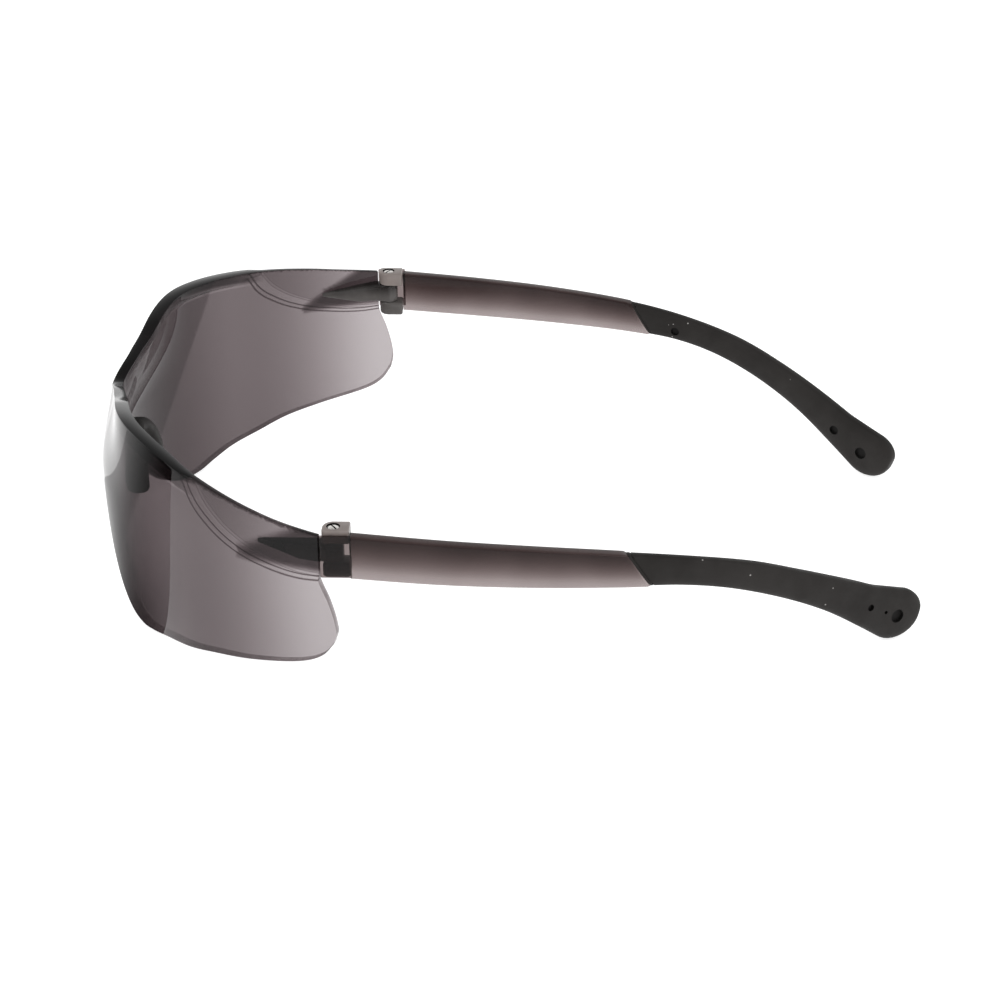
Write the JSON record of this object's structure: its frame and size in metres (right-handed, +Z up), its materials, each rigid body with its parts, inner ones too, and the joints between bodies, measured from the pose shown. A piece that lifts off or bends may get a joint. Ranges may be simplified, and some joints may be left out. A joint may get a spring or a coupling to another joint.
{
  "type": "safety glasses",
  "caption": "Wrap-around safety glasses with a one-piece smoke-tinted shield, a soft nosepiece and folding temples with rubber sleeves.",
  "frame": {"origin": "middle of the glasses, on the surface that they stand on with the temples open", "axes": "+X towards the wearer's left, +Y from the shield back to the temple tips, +Z up. The hinge axes are parallel to Z"},
  "size_m": [0.1382, 0.1738, 0.0465],
  "materials": {
    "smoke_lens": "clear smoke-grey polycarbonate, polished, transparent",
    "smoke_arm": "smoke-brown polycarbonate, polished, slightly transparent",
    "black_rubber": "matt soft black rubber",
    "nickel_screw": "nickel-plated steel, slightly satin"
  },
  "bodies": {
    "front": {"lens": "smoke_lens", "nosepiece": "black_rubber"},
    "arm_left": {"temple_left": "smoke_arm", "temple_sleeve_left": "black_rubber", "hinge_screw_left": "nickel_screw"},
    "arm_right": {"temple_right": "smoke_arm", "temple_sleeve_right": "black_rubber", "hinge_screw_right": "nickel_screw"}
  },
  "joints": [
    {"name": "hinge_left", "type": "hinge", "parent": "front", "child": "arm_left", "pos_m": [0.065, -0.0305, 0.0334], "axis": [0, 0, 1], "range_deg": [-4, 84]},
    {"name": "hinge_right", "type": "hinge", "parent": "front", "child": "arm_right", "pos_m": [-0.065, -0.0305, 0.0334], "axis": [0, 0, -1], "range_deg": [-4, 74]}
  ]
}
